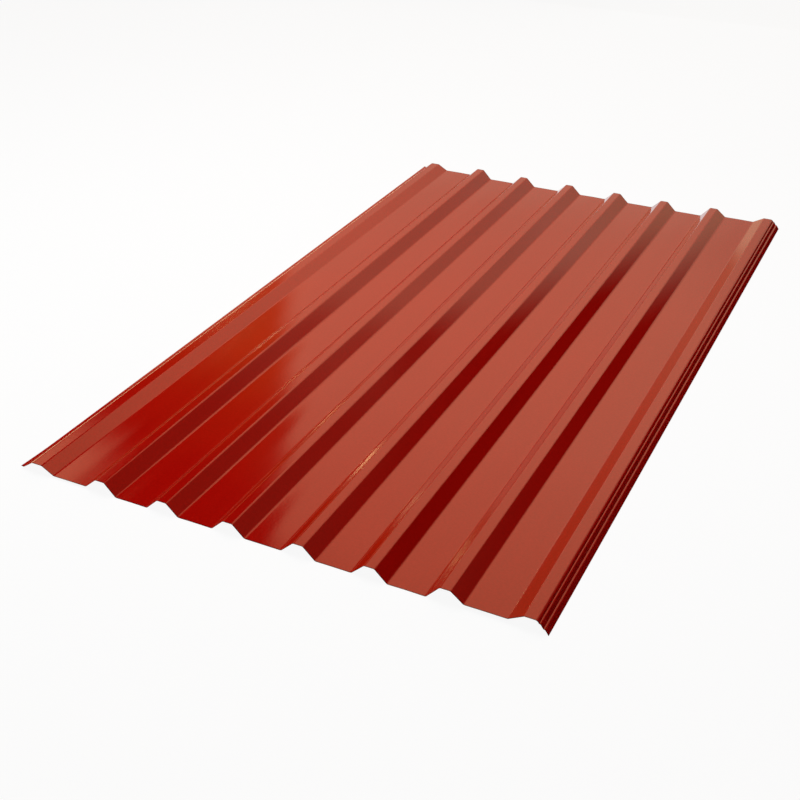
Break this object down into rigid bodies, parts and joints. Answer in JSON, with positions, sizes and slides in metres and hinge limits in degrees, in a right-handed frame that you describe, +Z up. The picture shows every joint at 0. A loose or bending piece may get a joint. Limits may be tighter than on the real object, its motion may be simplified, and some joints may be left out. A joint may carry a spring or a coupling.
{
  "type": "corrugated metal sheet",
  "caption": "Trapezoidal corrugated roofing sheet in red coated steel, one rolled piece with an under-lap lip and a stepped over-lap flange, lying flat.",
  "frame": {"origin": "on the floor, below the middle of the sheet", "axes": "+X across the sheet, from the under-lap edge to the over-lap edge; +Y along the ribs; +Z up, crowns up"},
  "size_m": [1.1414, 2, 0.0298],
  "materials": {
    "coated_steel": "semi-gloss baked coat"
  },
  "bodies": {
    "root": {"profiled_sheet": "coated_steel"}
  },
  "joints": []
}
